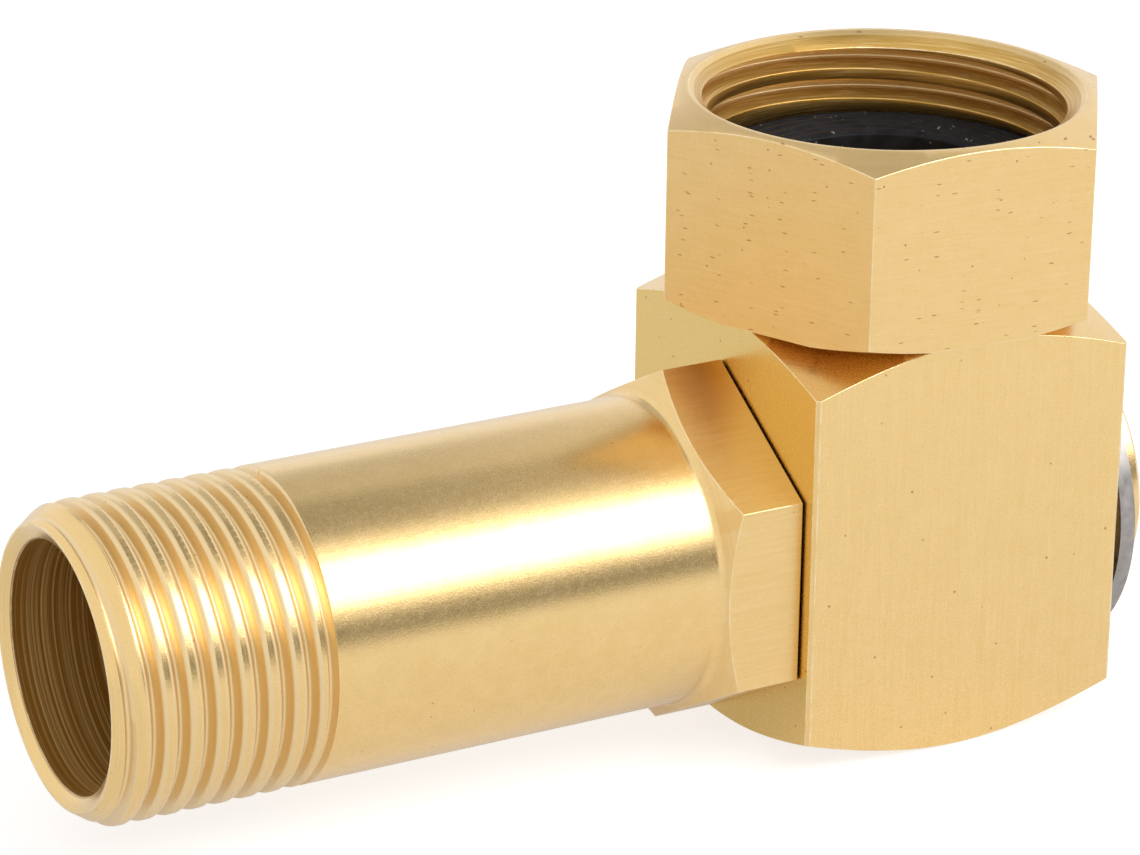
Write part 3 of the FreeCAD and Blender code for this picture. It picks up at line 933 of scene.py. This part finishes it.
# %% Roughness and relief of brass
def brass_roughness(tree, grain, marks, rough, inside, film):
    """Roughness that swings with the marks and grows in grooves and under a dull film."""
    mixed = choose(tree, 0.5, marks, grain)
    spread = remap(tree, mixed, 0.0, 1.0, -ROUGH_SWING, ROUGH_SWING)
    in_groove = maths(tree, "MULTIPLY", marked(tree, "groove"), GROOVE_ROUGH)
    spread = maths(tree, "ADD", spread, in_groove)
    if film:
        spread = maths(tree, "ADD", spread, maths(tree, "MULTIPLY", inside, film * FILM_ROUGH))
    return maths(tree, "ADD", spread, rough)


def brass_relief(tree, grain, marks, depth, grain_depth, inside, inside_depth, dents):
    """Surface direction, bent by the marks, the grain and the dents."""
    if inside is not None:
        depth = choose(tree, inside, inside_depth, depth)
        grain_depth = choose(tree, inside, INSIDE_GRAIN, grain_depth)
    height = maths(tree, "MULTIPLY", marks, depth)
    height = maths(tree, "ADD", height, maths(tree, "MULTIPLY", grain, grain_depth))
    if dents is not None:
        height = maths(tree, "SUBTRACT", height, dents)
    bump = add(tree, "Bump", {"Strength": 1.0, "Distance": MARK_HEIGHT * MM, "Height": height})
    return bump.outputs["Normal"]


# %% Brass shader
def metal_start(name):
    """Empty material, its node tree and its object coordinates."""
    material, tree, _ = new_material(name)
    return material, tree, add(tree, "TexCoord").outputs["Object"]


def brass(
    material, marks, contrast, depth, rough, grain_depth=1.0,
    inside=None, inside_depth=1.0, inside_shade_colour=BORE_SHADE_AND_BOUNCE, film=0.0, dents=None, drawn_and_reflected=None,
):
    """Machined brass from its tool marks, and masks for its inside with its painted shade, its dents
    and its sides with draw streaks and painted reflection.
    """
    tree = material.node_tree
    shader = tree.nodes["Principled BSDF"].inputs
    where = add(tree, "TexCoord").outputs["Object"]
    grain = noise(tree, where, GRAIN_SCALE, 2.0, 0.7)
    shader["Metallic"].default_value = 1.0
    if film:
        tree.links.new(remap(tree, inside, 0.0, 1.0, 1.0, 1.0 - film), shader["Metallic"])
    shader["Coat Weight"].default_value = COAT
    shader["Coat Roughness"].default_value = COAT_ROUGH
    colour = brass_colour(tree, where, grain, marks, contrast, inside, inside_shade_colour, dents, drawn_and_reflected)
    tree.links.new(colour, shader["Base Color"])
    roughness = brass_roughness(tree, grain, marks, rough, inside, film)
    tree.links.new(roughness, shader["Roughness"])
    relief = brass_relief(tree, grain, marks, depth, grain_depth, inside, inside_depth, dents)
    tree.links.new(relief, shader["Normal"])


# %% [markdown]
# ## Three finishes of one metal
# The block shows the long draw lines of square bar, strongest on the sides that face along
# the tube, whose deeper gold there is a painted reflection of the brass beside them.  The
# nut's lines run level round it instead, and it has been knocked about most; its inside is
# painted shade with a painted amber reflection.  The tube is satin, with turned circles on
# its thread and a painted reflection in its grooves, and a dull film and painted shade inside.

# %% Block finish
BLOCK_PULL = (5200, 5200, 200)
BORE_SKIN = 0.05
BLOCK_CONTRAST = (0.6, 0.85)
SIDE_FACING = (0.7, 0.9)
# Share of the streaks and painted reflection on those sides.
SIDE_REFLECTED_GOLD = 0.75
BLOCK_DEPTH = (1.0, 2.2)
BLOCK_ROUGH = 0.28

block_brass, tree, where = metal_start("block_brass")
coned = coned_ends(tree)
in_bore = maths(tree, "LESS_THAN", from_axis(tree, where, "X"), (bore_r + BORE_SKIN) * MM)
marks = choose(tree, coned, turned_lines(tree, where, "Z"), draw_lines(tree, where, BLOCK_PULL))
strength = maths(tree, "MAXIMUM", facing(tree, "X"), coned)
brass(
    block_brass,
    marks,
    contrast=remap(tree, strength, 0.0, 1.0, *BLOCK_CONTRAST),
    depth=remap(tree, facing(tree, "X"), *SIDE_FACING, *BLOCK_DEPTH),
    rough=BLOCK_ROUGH,
    # Inside the bore the colour is painted shade.
    inside=in_bore,
    dents=spots(tree, where, spacing=800.0, size=0.10, share=0.25),
    # Draw streaks and painted reflection on the sides that face along the tube.
    drawn_and_reflected=maths(tree, "MULTIPLY", remap(tree, facing(tree, "X"), *SIDE_FACING), SIDE_REFLECTED_GOLD),
)
block.data.materials.append(block_brass)
print("block finish has", len(tree.nodes), "nodes")

# %% Nut finish
NUT_PULL = (300, 300, 6000)
NUT_SKIN = 0.9
NUT_CONTRAST = 0.6
NUT_DEPTH = 0.4
NUT_ROUGH = 0.36
NUT_GRAIN = 1.3
NICK_PULL = (900, 900, 4200)
NICK_BEND = 0.6

nut_brass, tree, where = metal_start("nut_brass")
in_nut = maths(tree, "LESS_THAN", from_axis(tree, where, "Z"), (crest_r + NUT_SKIN) * MM)
turned = maths(tree, "MAXIMUM", coned_ends(tree), in_nut)
marks = choose(tree, turned, turned_lines(tree, where, "Z"), draw_lines(tree, where, NUT_PULL))
bent = noise(tree, where, 500.0)
curl = add(tree, "CombineXYZ", {"X": bent, "Y": bent, "Z": bent}).outputs["Vector"]
uneven = add(
    tree, "VectorMath", {0: curl, 1: (NICK_BEND * MM,) * 3, 2: where}, operation="MULTIPLY_ADD"
).outputs["Vector"]
nicks = spots(tree, stretch(tree, uneven, NICK_PULL), spacing=1.0, size=0.24, share=0.16)
pits = spots(tree, where, spacing=1000.0, size=0.10, share=0.3)
dents = maths(tree, "MAXIMUM", nicks, pits)
brass(
    nut_brass,
    marks,
    contrast=NUT_CONTRAST,
    depth=NUT_DEPTH,
    rough=NUT_ROUGH,
    grain_depth=NUT_GRAIN,
    # Inside the nut the colour is painted shade with a painted amber reflection.
    inside=in_nut,
    dents=maths(tree, "MULTIPLY", dents, maths(tree, "SUBTRACT", 1.0, in_nut)),
)
nut.data.materials.append(nut_brass)
print("nut finish has", len(tree.nodes), "nodes")

# %% Zones of the stem
THREAD_END = -46.5
TUBE_SKIN = 0.1
HEX_SKIN = 0.4
HEX_FLAT_FACING = (0.5, 0.3)

stem_brass, tree, where = metal_start("stem_brass")
radius = from_axis(tree, where, "X")
place = axis_part(tree, where, "X")
in_tube = maths(tree, "LESS_THAN", radius, (way_r + TUBE_SKIN) * MM)
in_tube = maths(tree, "MULTIPLY", in_tube, maths(tree, "LESS_THAN", place, 0.0))
on_hex = maths(tree, "GREATER_THAN", radius, (tube_r + HEX_SKIN) * MM)
hex_flat = maths(tree, "MULTIPLY", on_hex, remap(tree, facing(tree, "X"), *HEX_FLAT_FACING))
turned = maths(tree, "MAXIMUM", on_hex, maths(tree, "LESS_THAN", place, THREAD_END * MM))

# %% Stem finish
HEX_PULL = (250, 5200, 5200)
SATIN_SCALE = 2600.0
BORE_FINE = 8000.0
BORE_BROKEN = 25.0
TURNED_CONTRAST = 0.85
SATIN_CONTRAST = 0.3
STEM_DEPTH = (0.35, 1.6)
STEM_ROUGH = (0.25, 0.36)
STEM_GRAIN = 1.5
BORE_DEPTH = 6.0
BORE_FILM = 0.6

satin = noise(tree, where, SATIN_SCALE, 3.0, 0.65)
marks = choose(tree, turned, turned_lines(tree, where, "X"), satin)
bore_lines = turned_lines(tree, where, "X", BORE_FINE, BORE_BROKEN)
marks = choose(tree, in_tube, bore_lines, marks)
marks = choose(tree, hex_flat, draw_lines(tree, where, HEX_PULL), marks)
machined = maths(tree, "MAXIMUM", turned, in_tube)
brass(
    stem_brass,
    marks,
    contrast=choose(tree, machined, TURNED_CONTRAST, SATIN_CONTRAST),
    depth=remap(tree, hex_flat, 0.0, 1.0, *STEM_DEPTH),
    rough=remap(tree, on_hex, 0.0, 1.0, *STEM_ROUGH),
    grain_depth=STEM_GRAIN,
    inside=in_tube,
    inside_depth=BORE_DEPTH,
    # Inside the tube the colour is painted shade.
    inside_shade_colour=TUBE_BORE_SHADE,
    film=BORE_FILM,
    dents=spots(tree, where, spacing=900.0, size=0.08, share=0.2),
)
stem.data.materials.append(stem_brass)
print("stem finish has", len(tree.nodes), "nodes")

# %% [markdown]
# ## Rubber, steel and the pieces that keep their solid
# The washer is dull black rubber with a bloom and a little dust.  The neck, the two seals
# and the ring are plain enough for their solids to stay, so they only get a finish.

# %% Rubber and steel
BLOOM_RANGE = (0.3, 0.7)
DULL_RANGE = (0.36, 0.52)
DUST_RANGE = (0.74, 0.80)
WASHER_BLACK = (0.009, 0.009, 0.010, 1.0)
SEAL_BLACK = (0.012, 0.012, 0.013, 1.0)
BLOOM_BLACK = (0.022, 0.021, 0.022, 1.0)
DUST = (0.25, 0.22, 0.18, 1.0)
RUBBER_SPECULAR = 0.10
BLOOM_HEIGHT = 0.02
STEEL_DARK = (0.28, 0.26, 0.25, 1.0)
STEEL_LIGHT = (0.48, 0.45, 0.43, 1.0)


def rubber(name, colour):
    """Dull black rubber with a fine bloom and specks of dust."""
    material, tree, shader = new_material(name)
    where = add(tree, "TexCoord").outputs["Object"]
    bloom = noise(tree, where, 900.0, 4.0, 0.6)
    specks = remap(tree, noise(tree, where, 2600.0, 1.0, 0.3), *DUST_RANGE)
    mixed = blend_colour(tree, remap(tree, bloom, *BLOOM_RANGE), colour, BLOOM_BLACK)
    mixed = blend_colour(tree, specks, mixed, DUST)
    tree.links.new(mixed, shader.inputs["Base Color"])
    shader.inputs["Specular IOR Level"].default_value = RUBBER_SPECULAR
    tree.links.new(remap(tree, bloom, *BLOOM_RANGE, *DULL_RANGE), shader.inputs["Roughness"])
    bump = add(tree, "Bump", {"Strength": 0.5, "Distance": BLOOM_HEIGHT * MM, "Height": bloom})
    tree.links.new(bump.outputs["Normal"], shader.inputs["Normal"])
    return material


def steel(name):
    """Stamped spring steel with a dull grey skin."""
    material, tree, shader = new_material(name)
    where = add(tree, "TexCoord").outputs["Object"]
    shader.inputs["Metallic"].default_value = 1.0
    skin = noise(tree, where, 700.0, 4.0, 0.6)
    colour = blend_colour(tree, remap(tree, skin, *BLOOM_RANGE), STEEL_DARK, STEEL_LIGHT)
    tree.links.new(colour, shader.inputs["Base Color"])
    tree.links.new(remap(tree, skin, *BLOOM_RANGE, *DULL_RANGE), shader.inputs["Roughness"])
    return material


# %% Washer, neck, seals and ring
NECK_CONTRAST = 0.8
NECK_DEPTH = 0.5
NECK_ROUGH = 0.36

washer.data.materials.append(rubber("washer_rubber", WASHER_BLACK))
neck_brass, tree, where = metal_start("neck_brass")
brass(neck_brass, turned_lines(tree, where, "Z"), NECK_CONTRAST, NECK_DEPTH, NECK_ROUGH)
seal_rubber = rubber("seal_rubber", SEAL_BLACK)
CARRIED_OVER = {
    "inlet_neck": neck_brass,
    "tube_side_seal": seal_rubber,
    "tail_side_seal": seal_rubber,
    "retaining_ring": steel("ring_steel"),
}
for node, material in CARRIED_OVER.items():
    frame["nodes"][node].data.materials.clear()
    frame["nodes"][node].data.materials.append(material)
print("materials:", [material.name for material in bpy.data.materials])

# %% [markdown]
# ## Studio
# Polished metal shows its surroundings, so a studio for it is mostly what stands round the
# table.  White all round makes the flat faces glow, and one soft lamp makes the tube's long
# highlight.  A dark card on each side of that lamp gives the highlight its brown borders,
# and a lighter card behind the part shades its cones.  Only reflections see the cards.

# %% White surroundings
world = bpy.data.worlds.new("studio")
bpy.context.scene.world = world
world.use_nodes = True
sky = world.node_tree
sky.nodes.clear()
SEEN_WHITE = 1.0
SOFT_FILL = 0.65


def seen_rays(tree):
    """1 for rays that show the surroundings: straight, mirrored or through glass."""
    path = add(tree, "LightPath").outputs
    mirrored = maths(tree, "MAXIMUM", path["Is Camera Ray"], path["Is Glossy Ray"])
    return maths(tree, "MAXIMUM", mirrored, path["Is Transmission Ray"])


strength = remap(sky, seen_rays(sky), 0.0, 1.0, SOFT_FILL, SEEN_WHITE)
glow = add(sky, "Background", {"Color": (1, 1, 1, 1), "Strength": strength})
add(sky, "OutputWorld", {"Surface": glow.outputs["Background"]})

# %% Floor
FLOOR_SIZE = 3.0
FLOOR_GAP = 0.02
FLOOR_GREY = 0.48
FLOOR_ROUGH = 0.9
SHEEN_GLOW = 0.42
EYE_GLOW = 0.30
bpy.ops.object.select_all(action="DESELECT")
bpy.ops.mesh.primitive_plane_add(size=FLOOR_SIZE, location=(0, 0, cad_box[0][Z] - FLOOR_GAP * MM))
floor = new_piece("floor")
floor_paint, paint, floor_shader = new_material("floor_paint")
floor_shader.inputs["Base Color"].default_value = (FLOOR_GREY, FLOOR_GREY, FLOOR_GREY, 1)
floor_shader.inputs["Roughness"].default_value = FLOOR_ROUGH
floor_shader.inputs["Emission Color"].default_value = (1, 1, 1, 1)
to_eye = maths(paint, "MULTIPLY", add(paint, "LightPath").outputs["Is Camera Ray"], EYE_GLOW)
glow = maths(paint, "ADD", maths(paint, "MULTIPLY", seen_rays(paint), SHEEN_GLOW), to_eye)
paint.links.new(glow, floor_shader.inputs["Emission Strength"])
floor.data.materials.append(floor_paint)
print("floor", FLOOR_SIZE, "m wide")


# %% Face the tube
TARGET = Vector((-0.02, 0, 0.0135))


def place_facing(obj, lean, angle, distance):
    """Stand a lamp or card off the tube, facing it, with its long side along the tube.

    The lean is how far its direction points along the tube, and the angle in degrees goes
    round the tube from straight above towards the front.
    """
    turn_angle = math.radians(angle)
    level = math.sqrt(1 - lean ** 2)
    towards = Vector((lean, -level * math.sin(turn_angle), level * math.cos(turn_angle)))
    along = (Vector((1, 0, 0)) - towards * lean).normalized()
    turned = Matrix((along, towards.cross(along), towards)).transposed().to_4x4()
    obj.matrix_world = Matrix.Translation(TARGET + towards * distance) @ turned


# %% Lamp
LAMP_LENGTH = 0.42
LAMP_WIDTH = 0.21
LAMP_WATTS = 1.1
bpy.ops.object.light_add(type="AREA")
lamp = bpy.context.object
lamp.name = "soft_lamp"
lamp.data.shape = "RECTANGLE"
lamp.data.size = LAMP_LENGTH
lamp.data.size_y = LAMP_WIDTH
lamp.data.energy = LAMP_WATTS
place_facing(lamp, lean=0.43, angle=44, distance=0.42)
print("lamp of", LAMP_WATTS, "W")


# %% Cards
def dark_card(name, lean, angle, distance, length, width, grey):
    """Card of one grey that only reflections see, with its length along the tube."""
    bpy.ops.object.select_all(action="DESELECT")
    bpy.ops.mesh.primitive_plane_add(size=1)
    card = new_piece(name)
    card.data.transform(Matrix.Diagonal((length, width, 1, 1)))
    material, tree, shader = new_material(name + "_paint")
    shader.inputs["Base Color"].default_value = (0, 0, 0, 1)
    shader.inputs["Specular IOR Level"].default_value = 0
    shader.inputs["Emission Color"].default_value = (1, 1, 1, 1)
    shader.inputs["Emission Strength"].default_value = grey
    card.data.materials.append(material)
    place_facing(card, lean, angle, distance)
    card.visible_camera = False
    card.visible_diffuse = False
    card.visible_shadow = False
    print(card.name, "at", angle, "degrees")


dark_card("card_above", lean=0.256, angle=-4, distance=0.45, length=0.19, width=0.27, grey=0.32)
dark_card("card_over_nut", lean=0.145, angle=-40, distance=0.46, length=0.3, width=0.36, grey=0.6)
dark_card("card_beside", lean=0.43, angle=79, distance=0.45, length=0.5, width=0.13, grey=0.2)

# %% [markdown]
# ## Camera
# The camera stands where the photographer's did.  Its place was found by fitting a camera
# to the corners of the block, the nut and the hexagon, so it is given as two angles, a
# small roll, a distance and how far the picture's centre lies from the tube's axis.

# %% Camera
PICTURE_WIDTH = 1140
FOCAL_PIXELS = 4685.2
SENSOR = 36.0
NEAREST = 0.01
AZIMUTH = math.radians(28.71)
ELEVATION = math.radians(21.71)
ROLL = math.radians(0.73)
DISTANCE = 330.75
AIM_RIGHT = -21.257
AIM_UP = 5.289

back = Vector((
    -math.sin(AZIMUTH) * math.cos(ELEVATION),
    -math.cos(AZIMUTH) * math.cos(ELEVATION),
    math.sin(ELEVATION),
))
level = Vector((math.cos(AZIMUTH), -math.sin(AZIMUTH), 0))
rise = back.cross(level)
right = level * math.cos(ROLL) + rise * math.sin(ROLL)
up = rise * math.cos(ROLL) - level * math.sin(ROLL)
stand = Vector((0, 0, axis_z)) + back * DISTANCE + right * AIM_RIGHT + up * AIM_UP

bpy.ops.object.camera_add()
camera = bpy.context.object
camera.data.sensor_width = SENSOR
camera.data.lens = FOCAL_PIXELS / PICTURE_WIDTH * SENSOR
camera.data.clip_start = NEAREST
camera.matrix_world = Matrix.Translation(stand * MM) @ Matrix((right, up, back)).transposed().to_4x4()
bpy.context.scene.camera = camera
bpy.context.scene.view_settings.view_transform = "Standard"
print("lens", round(camera.data.lens, 1), "mm")
